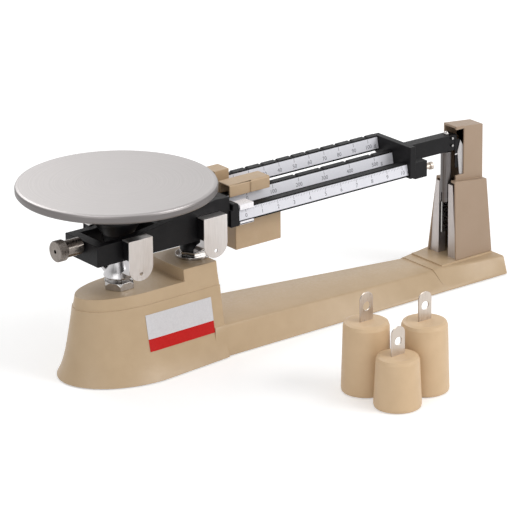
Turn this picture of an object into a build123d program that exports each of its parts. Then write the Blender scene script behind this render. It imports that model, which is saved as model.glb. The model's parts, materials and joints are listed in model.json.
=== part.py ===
from build123d import *
import os

# Triple beam balance, millimetres. Origin: on the table under the pan's centre.
# +X runs from the pan to the pointer tower, +Y to the back, +Z up.

# Heights that the base sets
FOOT_PROUD = 0.8          # the casting's rim stands this far above the table on its feet
LOW_DECK_Z = 66.0         # platform under the pan
BLOCK_TOP_Z = 75.0        # raised block that carries the fulcrum
LEDGE_Z = 57.0            # small step round the pedestal
WALL = 3.2                # casting wall

# Plan of the pedestal: half-width and left reach at each height
PEDESTAL_LEVELS = (
    # z, half-width, half-width at the right face, left end
    (FOOT_PROUD, 43.6, 37.6, -52.6),
    (8.0, 39.2, 35.0, -49.6),
    (20.0, 34.6, 32.2, -46.4),
    (40.0, 30.0, 28.8, -42.9),
    (LEDGE_Z, 26.6, 26.2, -40.4),
)
UPPER_LEVELS = (
    (LEDGE_Z, 25.8, 25.4, -39.6),
    (LOW_DECK_Z, 23.4, 23.2, -38.2),
    (BLOCK_TOP_Z, 22.0, 21.9, -36.9),
)
PEDESTAL_MID_X = 10.0     # where the rounded end meets the straight sides
PEDESTAL_RIGHT_X = 76.0
BLOCK_LEFT_X = 44.6

# Arm from the pedestal to the tower
ARM_START_X = 66.0
PLATFORM_START_X = 297.0
BASE_END_X = 362.0
ARM_FOOT_HALF = 35.6
ARM_TOP_START = (31.8, 26.4)      # half-width and height of the arm's top at its start
ARM_TOP_END = (19.2, 13.8)        # the same at the tower platform
PLATFORM_TOP_HALF = 31.0
PLATFORM_Z = 14.6
PLATFORM_LIFT = 1.4

# Pivots
KNIFE_Z = 103.0           # level of both knife edges
PAN_STATION_X = 0.0
ARM_RATIO_LENGTH = 70.0   # pan knife to fulcrum
FULCRUM_X = PAN_STATION_X + ARM_RATIO_LENGTH
CHECK_PIN_Z = 14.0

# Pan
PAN_DIAMETER = 152.4
PAN_TOP_Z = 149.6
PAN_SHEET = 1.0
PAN_RIM_DEPTH = 7.0

# Beam casting
RAIL_OUT = 20.8
RAIL_IN = 14.0
RAIL_BOTTOM_Z = 94.5
RAIL_RIGHT_BOTTOM_Z = 99.5
BEAM_LEFT_X = -33.5
BEAM_WALL_X = 82.0        # left face of the wall that carries the three bars
BEAM_RIGHT_X = 90.4
BEAM_LEFT_TOP_Z = 111.0
BEAM_RIGHT_TOP_Z = 123.2
END_WALL = 9.5

# The three bars: front face place, bottom, top of the scale face, bar top
BAR_DEPTH = 6.5
BAR_RIGHT_X = 268.5
BARS = {
    "front_beam": (-20.0, 100.6, 111.4),
    "middle_beam": (-1.5, 105.9, 116.8),
    "rear_beam": (17.0, 113.8, 125.2),
}
STRIP_THICKNESS = 0.6
STRIP_LIP = 1.2           # black edge left above and below each scale strip
FACE_LEAN = 1.2           # the scale face leans back by this much each way

# Zero marks and ranges of the scales
REAR_ZERO_X = 108.2
REAR_STEP = 15.03         # one notch, 10 g
MIDDLE_ZERO_X = 121.8
MIDDLE_STEP = 25.6        # one notch, 100 g
FRONT_ZERO_X = 106.6
FRONT_STEP = 15.64        # 1 g
SCALE_STEPS = {"rear": 10, "middle": 5, "front": 10}

# Cross plate and pointer
PLATE_LEFT_X = BAR_RIGHT_X
PLATE_THICKNESS = 5.5
PLATE_HALF = 23.2
STEM_RIGHT_X = 333.0
STEM_TOP_Z = 119.4
STEM_BOTTOM_Z = 106.0
STEM_HALF = 5.0

# Tower
TOWER_LEFT_X = 322.5
TOWER_RIGHT_X = 361.0
TOWER_FOOT_HALF = 17.9
TOWER_LEDGE_HALF = 11.5
TOWER_HEAD_HALF = 7.8
TOWER_WALL = 1.6
LEDGE_LEFT_Z = 81.0
LEDGE_RIGHT_Z = 77.0
ROOF_LEFT_Z = 126.0
ROOF_RIGHT_Z = 123.0
HEAD_LEFT_X = 330.0
HEAD_RIGHT_X = 358.8
LOWER_LEFT_TOP_X = 326.0
LOWER_RIGHT_TOP_X = 359.8
WINDOW_RIGHT_X = 338.5

# Running clearances
PIN_GAP = 0.06            # pins and studs in their holes
SEAT_GAP = 0.3            # parts that rest on another body

os.makedirs("parts", exist_ok=True)


def xz_prism(points, y0, y1):
    """A side profile (x, z) that fills the space from y0 to y1."""
    wire = Polyline(*[(x, y0, z) for x, z in points], close=True)
    return extrude(make_face(wire.edges()), amount=y1 - y0, dir=(0, 1, 0))


def yz_prism(points, x0, x1):
    """An end profile (y, z) that fills the space from x0 to x1."""
    wire = Polyline(*[(x0, y, z) for y, z in points], close=True)
    return extrude(make_face(wire.edges()), amount=x1 - x0, dir=(1, 0, 0))


def block(x0, x1, y0, y1, z0, z1):
    """A box by its limits."""
    return Pos((x0 + x1) / 2, (y0 + y1) / 2, (z0 + z1) / 2) * Box(x1 - x0, y1 - y0, z1 - z0)


def rod_z(x, y, z0, z1, radius):
    """An upright round bar."""
    return Pos(x, y, (z0 + z1) / 2) * Cylinder(radius, z1 - z0)


def rod_x(x0, x1, y, z, radius):
    """A round bar along X."""
    return Pos((x0 + x1) / 2, y, z) * Rot(0, 90, 0) * Cylinder(radius, x1 - x0)


def rod_y(x, y0, y1, z, radius):
    """A round bar along Y."""
    return Pos(x, (y0 + y1) / 2, z) * Rot(90, 0, 0) * Cylinder(radius, y1 - y0)


def hex_z(x, y, z0, z1, across_corners_radius):
    """An upright hexagon bar."""
    face = Plane.XY.offset(z0) * Pos(x, y) * RegularPolygon(across_corners_radius, 6)
    return extrude(face, amount=z1 - z0)


def both_sides(solid):
    """A solid and its mirror image across the balance's middle plane."""
    return [solid, mirror(solid, about=Plane.XZ)]


def write(name, *solids):
    """Write one node: one solid, or a group of like solids."""
    flat = []
    for item in solids:
        flat.extend(item if isinstance(item, (list, tuple)) else [item])
    pieces = [s for item in flat for s in item.solids()]
    shape = pieces[0] if len(pieces) == 1 else Compound(children=pieces)
    shape.label = name
    export_step(shape, f"parts/{name}.step")
    return shape


# Base casting: a hollow pedestal, arm and tower platform, open below

def pedestal_face(z, half, half_right, left, inset=0.0):
    """One level of the pedestal: half an ellipse on the left, straight sides to the right face."""
    half_in = half - inset
    right = PEDESTAL_RIGHT_X - inset
    right_half = half_right - inset
    reach = PEDESTAL_MID_X - left - inset
    end = EllipticalCenterArc((PEDESTAL_MID_X, 0), reach, half_in, start_angle=90, arc_size=180)
    lower = Line((PEDESTAL_MID_X, -half_in), (right, -right_half))
    side = Line((right, -right_half), (right, right_half))
    upper = Line((right, right_half), (PEDESTAL_MID_X, half_in))
    return Pos(0, 0, z) * make_face([end, lower, side, upper])


def pedestal_loft(levels, inset, smooth):
    """A loft through the pedestal's levels."""
    return loft([pedestal_face(z, h, r, x, inset) for z, h, r, x in levels], ruled=not smooth)


def pedestal_outline(inset):
    """The pedestal's rim as a flat face, shrunk by the inset."""
    return pedestal_face(*PEDESTAL_LEVELS[0], inset)


def arm_section(x, foot_half, top_half, top_z, bottom_z, round_drop):
    """One section across the arm: leaning sides and a slightly crowned top."""
    points = [
        (x, -foot_half, bottom_z),
        (x, -foot_half + 0.6, bottom_z + 2.0),
        (x, -top_half - round_drop, top_z - round_drop),
        (x, -top_half + round_drop, top_z),
        (x, top_half - round_drop, top_z),
        (x, top_half + round_drop, top_z - round_drop),
        (x, foot_half - 0.6, bottom_z + 2.0),
        (x, foot_half, bottom_z),
    ]
    return make_face(Polyline(*points, close=True).edges())


def arm_loft(inset):
    """The arm, lofted from the pedestal to the tower platform."""
    bottom = FOOT_PROUD if inset == 0 else FOOT_PROUD - 1.0
    start = arm_section(ARM_START_X, ARM_FOOT_HALF - inset, ARM_TOP_START[0] - inset,
                        ARM_TOP_START[1] - inset, bottom, 1.0)
    end_x = PLATFORM_START_X + (0 if inset == 0 else WALL)
    end = arm_section(end_x, ARM_FOOT_HALF - inset, ARM_TOP_END[0] - inset,
                      ARM_TOP_END[1] - inset, bottom, 1.0)
    return loft([start, end], ruled=True)


def platform_loft(inset):
    """The platform that carries the tower: its top widens to the right end."""
    bottom = FOOT_PROUD if inset == 0 else FOOT_PROUD - 1.0
    start = arm_section(PLATFORM_START_X - (0 if inset == 0 else WALL), ARM_FOOT_HALF - inset,
                        ARM_TOP_END[0] - inset, PLATFORM_Z - inset, bottom, 0.8)
    end = arm_section(BASE_END_X - inset, ARM_FOOT_HALF + 0.6 - inset,
                      PLATFORM_TOP_HALF - inset, PLATFORM_Z + 0.4 - inset, bottom, 0.8)
    return loft([start, end], ruled=True)


def base_body(inset):
    """The outer form of the base, or the same form shrunk by the wall and open below."""
    levels = list(PEDESTAL_LEVELS)
    if inset:
        levels[0] = (FOOT_PROUD - 1.0, *levels[0][1:])
    lower = pedestal_loft(levels, inset, True)
    upper = pedestal_loft(UPPER_LEVELS, inset, False)
    if inset:
        upper -= block(-60, 90, -40, 40, BLOCK_TOP_Z - inset, BLOCK_TOP_Z + 1)
    upper -= block(-60, BLOCK_LEFT_X + inset, -40, 40, LOW_DECK_Z - inset, BLOCK_TOP_Z + 1)
    return lower + upper + arm_loft(inset) + platform_loft(inset)


GUIDE_BORE_R = 5.0        # hole in the low deck for the guide nut's sleeve
FULCRUM_STUD_R = 4.0
FOOT_PLACES = [(-24.0, 20.0), (-24.0, -20.0), (334.0, 22.0), (334.0, -22.0)]
COVER_PLATE = 1.0
FOOT_HEIGHT = FOOT_PROUD + 0.9     # the feet reach up to the recessed cover
COVER_Z0 = FOOT_HEIGHT
COVER_Z1 = COVER_Z0 + COVER_PLATE
BOSS_R = 4.5
SCREW_R = 1.5

outer = base_body(0.0)
inner = base_body(WALL)
casting = outer - inner
for foot_x, foot_y in FOOT_PLACES:
    boss = rod_z(foot_x, foot_y, COVER_Z1, LOW_DECK_Z, BOSS_R) & outer
    casting += boss
    casting -= rod_z(foot_x, foot_y, 0, 9.0, SCREW_R)
casting -= rod_z(PAN_STATION_X, 0, LOW_DECK_Z - 12, LOW_DECK_Z + 1, GUIDE_BORE_R)

# Two ribs under the fulcrum carry the check rod's pin
CHECK_RIB_IN = 3.0
CHECK_RIB_OUT = 6.0
CHECK_PIN_R = 1.6
ribs = both_sides(block(FULCRUM_X - 6, PEDESTAL_RIGHT_X - 1, CHECK_RIB_IN, CHECK_RIB_OUT,
                        CHECK_PIN_Z - 5, BLOCK_TOP_Z - 1))
for rib in ribs:
    casting += rib
casting -= rod_z(FULCRUM_X, 0, BLOCK_TOP_Z - 12, BLOCK_TOP_Z + 1, FULCRUM_STUD_R)
casting -= rod_y(FULCRUM_X, -CHECK_RIB_OUT - 1, CHECK_RIB_OUT + 1, CHECK_PIN_Z, CHECK_PIN_R)

# A low pad under the tower, with the slot that the tower's foot plates stand in
pad_top = PLATFORM_Z + PLATFORM_LIFT
casting += yz_prism([(-19.4, PLATFORM_Z - 1), (19.4, PLATFORM_Z - 1), (18.9, pad_top), (-18.9, pad_top)],
                    TOWER_LEFT_X - 16, BASE_END_X - 1.5)
write("base_casting", casting)

# Under the base: a steel cover, four rubber feet and the screws that hold both
FOOT_R = 7.0
HEAD_R = 2.8
HEAD_HEIGHT = 1.2
COVER_FIT = 2.4           # the cover's edge stays this far inside the wall
cover_inset = WALL + COVER_FIT
cover_half = ARM_FOOT_HALF - cover_inset
cover = extrude(Pos(0, 0, COVER_Z0 - FOOT_PROUD) * pedestal_outline(cover_inset), amount=COVER_PLATE)
cover += block(PEDESTAL_MID_X, BASE_END_X - cover_inset, -cover_half, cover_half, COVER_Z0, COVER_Z1)
for foot_x, foot_y in FOOT_PLACES:
    cover -= rod_z(foot_x, foot_y, COVER_Z0 - 1, COVER_Z1 + 1, SCREW_R + 0.2)
write("bottom_cover", cover)
feet = []
screws = []
for foot_x, foot_y in FOOT_PLACES:
    foot = Pos(foot_x, foot_y, 0) * Cone(FOOT_R - 0.6, FOOT_R, FOOT_HEIGHT,
                                         align=(Align.CENTER, Align.CENTER, Align.MIN))
    foot -= rod_z(foot_x, foot_y, -1, FOOT_HEIGHT - 0.5, HEAD_R + 0.3)
    foot -= rod_z(foot_x, foot_y, -1, FOOT_HEIGHT + 1, SCREW_R + 0.2)
    feet.append(foot)
    head = rod_z(foot_x, foot_y, FOOT_HEIGHT - 0.5 - 0.9, FOOT_HEIGHT - 0.5, HEAD_R)
    shank = rod_z(foot_x, foot_y, FOOT_HEIGHT - 0.5, 8.5, SCREW_R - PIN_GAP)
    screws.append(head + shank)
write("rubber_feet", feet)
write("foot_screws", screws)

# Guide nut on the low deck: the pan's stem passes through it with clearance
GUIDE_NUT_R = 12.4
GUIDE_NUT_TOP = LOW_DECK_Z + 6.0
POST_R = 2.5
guide_nut = hex_z(PAN_STATION_X, 0, LOW_DECK_Z, GUIDE_NUT_TOP, GUIDE_NUT_R)
guide_nut &= Pos(PAN_STATION_X, 0, LOW_DECK_Z) * Cone(GUIDE_NUT_R + 2.2, GUIDE_NUT_R - 1.4, 6.0,
                                                     align=(Align.CENTER, Align.CENTER, Align.MIN))
guide_nut += rod_z(PAN_STATION_X, 0, LOW_DECK_Z - WALL, LOW_DECK_Z, GUIDE_BORE_R - PIN_GAP)
guide_nut -= rod_z(PAN_STATION_X, 0, LOW_DECK_Z - WALL - 1, GUIDE_NUT_TOP + 1, POST_R + 1.0)
write("guide_nut", guide_nut)

# Fulcrum nut: a flanged hexagon with its stud through the raised block
FLANGE_R = 13.6
FLANGE_HEIGHT = 2.2
FULCRUM_NUT_TOP = BLOCK_TOP_Z + 5.2
fulcrum_nut = rod_z(FULCRUM_X, 0, BLOCK_TOP_Z, BLOCK_TOP_Z + FLANGE_HEIGHT, FLANGE_R)
fulcrum_nut += hex_z(FULCRUM_X, 0, BLOCK_TOP_Z + FLANGE_HEIGHT, FULCRUM_NUT_TOP, FLANGE_R - 2.6)
fulcrum_nut += rod_z(FULCRUM_X, 0, BLOCK_TOP_Z - WALL, BLOCK_TOP_Z, FULCRUM_STUD_R - PIN_GAP)
write("fulcrum_nut", fulcrum_nut)

# Knife bearings. Each station has a stirrup with two arms, a bearing block and agate on each
# arm, and a sheet cover hooked over each block.
ARM_IN = 21.5             # inner face of the stirrup arms, clear of the rails
ARM_OUT = 29.0
ARM_HALF = 9.0
BLOCK_HALF = 10.4
STIRRUP_TOP_Z = 96.4
COVER_SHEET = 0.8
COVER_HALF = 11.0
COVER_LENGTH = 32.8
COVER_HOLE_UP = 5.6
COVER_HOLE_R = 1.5
CAVITY_HALF = 5.5
CAVITY_END = ARM_OUT - 1.2
KNIFE_END = CAVITY_END - 0.3
KNIFE_HALF = 2.2
KNIFE_HEIGHT = 3.8
AGATE_HEIGHT = 4.0
GROOVE_HALF = 3.6
GROOVE_DEPTH = 1.9
KNIFE_PLAY = 0.05
COVER_TOP = {"pan": 112.0, "fulcrum": 114.0}


def stirrup(x, base_bottom, base_top):
    """A forked carrier: a flat base, two slanted legs and two upright arms."""
    thick = base_top - base_bottom
    half = [
        (9.0, base_bottom), (ARM_OUT, base_bottom + 10.5), (ARM_OUT, STIRRUP_TOP_Z),
        (ARM_IN, STIRRUP_TOP_Z), (ARM_IN, base_bottom + 11.5 + thick * 0.6), (7.6, base_top),
    ]
    outline = half + [(-y, z) for y, z in reversed(half)]
    band = yz_prism(outline, x - ARM_HALF, x + ARM_HALF)
    waist = [
        (x - 5.5, base_bottom - 1), (x + 5.5, base_bottom - 1), (x + 5.5, base_bottom + 4),
        (x + ARM_HALF, base_bottom + 9), (x + ARM_HALF, STIRRUP_TOP_Z + 1),
        (x - ARM_HALF, STIRRUP_TOP_Z + 1), (x - ARM_HALF, base_bottom + 9), (x - 5.5, base_bottom + 4),
    ]
    return band & xz_prism(waist, -ARM_OUT - 1, ARM_OUT + 1)


def bearing_set(name, x, edge_up):
    """The blocks, agates, covers and cover screws of one station."""
    top = COVER_TOP[name] - COVER_SHEET
    sign = 1 if edge_up else -1
    seat = KNIFE_Z + sign * (AGATE_HEIGHT - 1)
    far = KNIFE_Z - sign * (KNIFE_HEIGHT + 1.4)
    holder = block(x - BLOCK_HALF, x + BLOCK_HALF, ARM_IN, ARM_OUT, STIRRUP_TOP_Z, top)
    holder -= block(x - CAVITY_HALF, x + CAVITY_HALF, ARM_IN - 1, CAVITY_END, min(seat, far), max(seat, far))
    rim = KNIFE_Z - sign * GROOVE_DEPTH
    apex = KNIFE_Z + sign * KNIFE_PLAY
    agate = xz_prism([
        (x - CAVITY_HALF, seat), (x - CAVITY_HALF, rim), (x - GROOVE_HALF, rim), (x, apex),
        (x + GROOVE_HALF, rim), (x + CAVITY_HALF, rim), (x + CAVITY_HALF, seat),
    ], ARM_IN + 0.4, CAVITY_END)
    low = COVER_TOP[name] - COVER_LENGTH
    sheet = block(x - COVER_HALF, x + COVER_HALF, ARM_OUT, ARM_OUT + COVER_SHEET, low, COVER_TOP[name])
    round_r = COVER_HALF - 0.01
    sheet = fillet(sheet.edges().filter_by(Axis.Y).group_by(Axis.Z)[0], round_r)
    flange = block(x - COVER_HALF, x + COVER_HALF, RAIL_OUT + 0.3, ARM_OUT + 0.1, top, COVER_TOP[name])
    cover_piece = sheet + flange
    hole_z = low + COVER_HOLE_UP
    cover_piece -= rod_y(x, ARM_OUT - 1, ARM_OUT + 2, hole_z, COVER_HOLE_R)
    write(f"{name}_bearing_blocks", both_sides(holder))
    write(f"{name}_agates", both_sides(agate))
    write(f"{name}_bearing_covers", both_sides(cover_piece))


def knife(x, edge_up):
    """A hardened prism through each rail, its edge on the agates."""
    sign = -1 if edge_up else 1
    profile = [(x, KNIFE_Z), (x + KNIFE_HALF, KNIFE_Z + sign * KNIFE_HEIGHT),
               (x - KNIFE_HALF, KNIFE_Z + sign * KNIFE_HEIGHT)]
    return xz_prism(profile, RAIL_IN, KNIFE_END)


fulcrum_fork = stirrup(FULCRUM_X, FULCRUM_NUT_TOP, FULCRUM_NUT_TOP + 2.6)
write("fulcrum_stirrup", fulcrum_fork)
bearing_set("fulcrum", FULCRUM_X, False)

# The pan's stirrup hangs clear of the guide nut by more than the beam's travel
PAN_FORK_LIFT = 2.6
PAN_FORK_Z = GUIDE_NUT_TOP + PAN_FORK_LIFT
PAN_FORK_TOP = PAN_FORK_Z + 2.6
pan_fork = stirrup(PAN_STATION_X, PAN_FORK_Z, PAN_FORK_TOP)
pan_fork -= rod_z(PAN_STATION_X, 0, PAN_FORK_Z - 1, PAN_FORK_TOP + 1, POST_R)
write("pan_stirrup", pan_fork)
bearing_set("pan", PAN_STATION_X, True)

# Pan support: a black boss on a post that runs down through the guide nut
BOSS_R_TOP = 19.5
SUPPORT_TOP_Z = PAN_TOP_Z - PAN_SHEET - 6.0
SUPPORT_LOW_Z = 104.0
pan_post = rod_z(PAN_STATION_X, 0, 9.0, SUPPORT_LOW_Z + 4, POST_R)
pan_post += rod_z(PAN_STATION_X, 0, PAN_FORK_TOP, PAN_FORK_TOP + 3, POST_R + 2.5)
POST_FLAT = 2.4
pan_post -= block(-5, 5, POST_FLAT / 2, 5, 8, 19)
pan_post -= block(-5, 5, -5, -POST_FLAT / 2, 8, 19)
LINK_PIN_R = 1.2
pan_post -= rod_y(PAN_STATION_X, -5, 5, CHECK_PIN_Z, LINK_PIN_R)
write("pan_post", pan_post)
support_profile = [
    (0, SUPPORT_LOW_Z), (11.5, SUPPORT_LOW_Z), (12.5, 110.0), (BOSS_R_TOP - 1.5, 119.0),
    (BOSS_R_TOP, 121.0), (BOSS_R_TOP, SUPPORT_TOP_Z), (0, SUPPORT_TOP_Z),
]
support = revolve(make_face(Polyline(*[(r, 0, z) for r, z in support_profile], close=True).edges()), Axis.Z)
support -= rod_z(0, 0, SUPPORT_LOW_Z - 1, SUPPORT_LOW_Z + 4, POST_R)
SOCKET_R = 5.0
SOCKET_DEPTH = 12.0
support -= rod_z(0, 0, SUPPORT_TOP_Z - SOCKET_DEPTH, SUPPORT_TOP_Z + 1, SOCKET_R)
write("pan_support", support)
write("link_pin", rod_y(PAN_STATION_X, -4.6, 4.6, CHECK_PIN_Z, LINK_PIN_R - PIN_GAP))

# Check rod: a forked link, parallel to the beam, that keeps the pan level
LINK_EYE_R = 3.6
LINK_OPEN_R = LINK_PIN_R + 0.25
LINK_SIDE_IN = 1.5
LINK_SIDE_OUT = 2.7
link_profile = rod_y(PAN_STATION_X, LINK_SIDE_IN, LINK_SIDE_OUT, CHECK_PIN_Z, LINK_EYE_R)
link_profile += rod_y(FULCRUM_X, LINK_SIDE_IN, LINK_SIDE_OUT, CHECK_PIN_Z, LINK_EYE_R)
link_profile += block(PAN_STATION_X, FULCRUM_X, LINK_SIDE_IN, LINK_SIDE_OUT, CHECK_PIN_Z - 2.2, CHECK_PIN_Z + 2.2)
link_sides = both_sides(link_profile)
check_rod = link_sides[0] + link_sides[1]
check_rod += block(PAN_STATION_X + 12, FULCRUM_X - 12, -LINK_SIDE_OUT, LINK_SIDE_OUT, CHECK_PIN_Z - 2.2, CHECK_PIN_Z - 1.0)
check_rod -= rod_y(PAN_STATION_X, -5, 5, CHECK_PIN_Z, LINK_OPEN_R)
check_rod -= rod_y(FULCRUM_X, -5, 5, CHECK_PIN_Z, CHECK_PIN_R + PIN_GAP)
write("check_rod", check_rod)
write("check_rod_pin", rod_y(FULCRUM_X, -CHECK_RIB_OUT, CHECK_RIB_OUT, CHECK_PIN_Z, CHECK_PIN_R - 0.02))

# Pan: a spun steel disc with a rolled rim and a hub that drops into the support's socket
rim_r = PAN_DIAMETER / 2
rim_roll = 1.6
under = PAN_TOP_Z - PAN_SHEET
pan_profile = [
    (0, under), (rim_r - 4.0, under), (rim_r - PAN_SHEET - 0.4, under - 1.6),
    (rim_r - PAN_SHEET - 0.4, PAN_TOP_Z - PAN_RIM_DEPTH + 1.2),
    (rim_r - 3.2, PAN_TOP_Z - PAN_RIM_DEPTH + 1.0), (rim_r - 3.2, PAN_TOP_Z - PAN_RIM_DEPTH),
    (rim_r - 1.2, PAN_TOP_Z - PAN_RIM_DEPTH), (rim_r, PAN_TOP_Z - PAN_RIM_DEPTH + 1.4),
    (rim_r, PAN_TOP_Z - 2.2), (rim_r - 0.7, PAN_TOP_Z - 0.7), (rim_r - 2.2, PAN_TOP_Z), (0, PAN_TOP_Z),
]
pan = revolve(make_face(Polyline(*[(r, 0, z) for r, z in pan_profile], close=True).edges()), Axis.Z)
write("pan_plate", pan)
hub_face_z = SUPPORT_TOP_Z + SEAT_GAP
hub = rod_z(0, 0, hub_face_z, under, 24.0)
hub += rod_z(0, 0, SUPPORT_TOP_Z - SOCKET_DEPTH + 2, hub_face_z, SOCKET_R - PIN_GAP)
write("pan_hub", hub)

# Beam casting: two rails, an end bar for the zero knob, a web, and the wall for the bars
rail_profile = [
    (BEAM_LEFT_X, RAIL_BOTTOM_Z), (FULCRUM_X - 6, RAIL_BOTTOM_Z), (BEAM_WALL_X, RAIL_RIGHT_BOTTOM_Z - 0.5),
    (BEAM_RIGHT_X, RAIL_RIGHT_BOTTOM_Z), (BEAM_RIGHT_X, BEAM_RIGHT_TOP_Z), (77, BEAM_RIGHT_TOP_Z + 0.6),
    (20, 114.2), (3, 112.3), (-12, BEAM_LEFT_TOP_Z), (BEAM_LEFT_X, BEAM_LEFT_TOP_Z),
]
rail = xz_prism(rail_profile, RAIL_IN, RAIL_OUT)
beam_casting = both_sides(rail)[0] + both_sides(rail)[1]
beam_casting += block(BEAM_LEFT_X, BEAM_LEFT_X + END_WALL, -RAIL_OUT, RAIL_OUT, RAIL_BOTTOM_Z, BEAM_LEFT_TOP_Z)
WEB_X = 27.0
beam_casting += block(WEB_X, WEB_X + 5, -RAIL_IN - 0.1, RAIL_IN + 0.1, RAIL_BOTTOM_Z + 2, 113.0)
wall_outline = [
    (-RAIL_OUT, RAIL_RIGHT_BOTTOM_Z), (-PLATE_HALF + 11, RAIL_RIGHT_BOTTOM_Z), (4, 104.5),
    (PLATE_HALF, 112.5), (PLATE_HALF + 0.3, BEAM_RIGHT_TOP_Z + 2.4), (16, BEAM_RIGHT_TOP_Z + 2.4),
    (14, BEAM_RIGHT_TOP_Z), (-RAIL_OUT, BEAM_RIGHT_TOP_Z),
]
beam_casting += yz_prism(wall_outline, BEAM_WALL_X, BEAM_RIGHT_X)
beam_casting += block(BEAM_RIGHT_X, 98.4, -RAIL_OUT, -14.2, 98.6, 110.0) - block(BEAM_RIGHT_X, 99, -21.5, -14, 99.8, 112)
pan_knives = both_sides(knife(PAN_STATION_X, True))
fulcrum_knives = both_sides(knife(FULCRUM_X, False))
for edge in pan_knives + fulcrum_knives:
    beam_casting -= edge
KNOB_Z = 107.0
STUD_R = 3.0
beam_casting -= rod_x(BEAM_LEFT_X - 1, BEAM_LEFT_X + END_WALL - 2, 0, KNOB_Z, STUD_R)
write("beam_casting", beam_casting)
write("pan_knife_edges", pan_knives)
write("fulcrum_knife_edges", fulcrum_knives)


def lean_face(y_face, z0, z1, margin):
    """Bottom and top points of a scale face that leans back."""
    low = (y_face - FACE_LEAN + margin, z0)
    high = (y_face + FACE_LEAN + margin, z1)
    return low, high


def bar(y_face, z0, z1):
    """One graduated bar: a leaning front face with a recess for its strip, lips above and below."""
    low, high = lean_face(y_face, z0, z1, 0.0)
    back = y_face + BAR_DEPTH
    return yz_prism([low, high, (back, z1), (back, z0 + 1.0), (back - 2.5, z0)], BEAM_RIGHT_X, BAR_RIGHT_X)


def strip(y_face, z0, z1, x0, x1):
    """The graduated strip let into a bar's front face."""
    def on_face(z, depth):
        share = (z - z0) / (z1 - z0)
        return (y_face - FACE_LEAN + 2 * FACE_LEAN * share + depth, z)
    bottom = z0 + STRIP_LIP
    top = z1 - STRIP_LIP
    points = [on_face(bottom, 0), on_face(top, 0), on_face(top, STRIP_THICKNESS), on_face(bottom, STRIP_THICKNESS)]
    return yz_prism(points, x0, x1)


def notch(x, y_face, z_top):
    """A V notch across a bar's top."""
    return xz_prism([(x - 1.5, z_top + 0.1), (x + 1.5, z_top + 0.1), (x, z_top - 1.6)], y_face, y_face + 9)


scales = {
    "front_beam": ("front_scale", FRONT_ZERO_X, FRONT_STEP, 0),
    "middle_beam": ("middle_scale", MIDDLE_ZERO_X, MIDDLE_STEP, SCALE_STEPS["middle"]),
    "rear_beam": ("rear_scale", REAR_ZERO_X, REAR_STEP, SCALE_STEPS["rear"]),
}
for bar_name, (y_face, z0, z1) in BARS.items():
    strip_name, zero_x, step, notches = scales[bar_name]
    graduated = bar(y_face, z0, z1)
    plate = strip(y_face, z0, z1, BEAM_RIGHT_X + 2, BAR_RIGHT_X)
    graduated -= plate
    for index in range(1, notches + 1):
        graduated -= notch(zero_x + index * step, y_face + 1.5, z1)
    write(bar_name, graduated)
    write(strip_name, plate)

# Cross plate that ties the bars' right ends, with the trim block behind the front bar
plate_outline = [
    (-PLATE_HALF, 99.0), (-PLATE_HALF + 11, 99.0), (PLATE_HALF, 112.0),
    (PLATE_HALF, 125.2), (-PLATE_HALF, 125.2),
]
PLATE_RIGHT_X = PLATE_LEFT_X + PLATE_THICKNESS
cross_plate = yz_prism(plate_outline, PLATE_LEFT_X, PLATE_RIGHT_X)
TRIM_Z = 103.6
TRIM_Y = -18.0
TRIM_R = 2.1
TRIM_BLOCK_X = 286.6
cross_plate += block(PLATE_RIGHT_X, TRIM_BLOCK_X, TRIM_Y - 4.6, TRIM_Y + 4.6, 97.4, 111.0)
cross_plate -= rod_x(PLATE_RIGHT_X + 4, TRIM_BLOCK_X + 1, TRIM_Y, TRIM_Z, TRIM_R)
write("cross_plate", cross_plate)
trim_screw = rod_x(PLATE_RIGHT_X + 4.2, 292.6, TRIM_Y, TRIM_Z, TRIM_R - PIN_GAP)
trim_screw += rod_x(292.6, 295.4, TRIM_Y, TRIM_Z, TRIM_R + 1.0)
trim_screw -= block(294.6, 296, TRIM_Y - 4, TRIM_Y + 4, TRIM_Z - 0.4, TRIM_Z + 0.4)
write("trim_screw", trim_screw)

# Pointer stem, its end block for hanging masses, and the damping rod and vane below
stem_profile = [
    (PLATE_RIGHT_X, STEM_BOTTOM_Z), (STEM_RIGHT_X, STEM_BOTTOM_Z - 0.6),
    (STEM_RIGHT_X, STEM_TOP_Z - 0.8), (PLATE_RIGHT_X, STEM_TOP_Z),
]
stem = xz_prism(stem_profile, -STEM_HALF, STEM_HALF)
HANGER_PINS = ((327.5, 116.4), (327.5, 110.4))
HANGER_R = 1.0
for pin_x, pin_z in HANGER_PINS:
    stem -= rod_y(pin_x, -STEM_HALF - 1, STEM_HALF + 1, pin_z, HANGER_R)
DAMPER_X = 326.0
DAMPER_R = 4.4
DAMPER_BOTTOM_Z = 62.0
stem_end_z = STEM_BOTTOM_Z - 0.6
stem -= rod_z(DAMPER_X, 0, 100, 108.4, 2.0)
write("pointer_stem", stem)
write("hanger_pins", [rod_y(pin_x, -STEM_HALF - 1.6, STEM_HALF + 1.6, pin_z, HANGER_R - PIN_GAP)
                      for pin_x, pin_z in HANGER_PINS])
damper_rod = rod_z(DAMPER_X, 0, DAMPER_BOTTOM_Z, 104.6, DAMPER_R)
damper_rod += rod_z(DAMPER_X, 0, 104.6, 108.4, 2.0 - PIN_GAP)
VANE_HALF = 0.6
damper_rod -= block(320, 332, -VANE_HALF - 0.02, VANE_HALF + 0.02, 50, DAMPER_BOTTOM_Z + 8)
write("damper_rod", damper_rod)
vane = block(DAMPER_X - 4.0, DAMPER_X + 24, -VANE_HALF, VANE_HALF, 36.0, DAMPER_BOTTOM_Z)
vane += block(DAMPER_X - 3.0, DAMPER_X + 3.0, -VANE_HALF, VANE_HALF, DAMPER_BOTTOM_Z - 1, DAMPER_BOTTOM_Z + 8)
write("damper_vane", vane)

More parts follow.
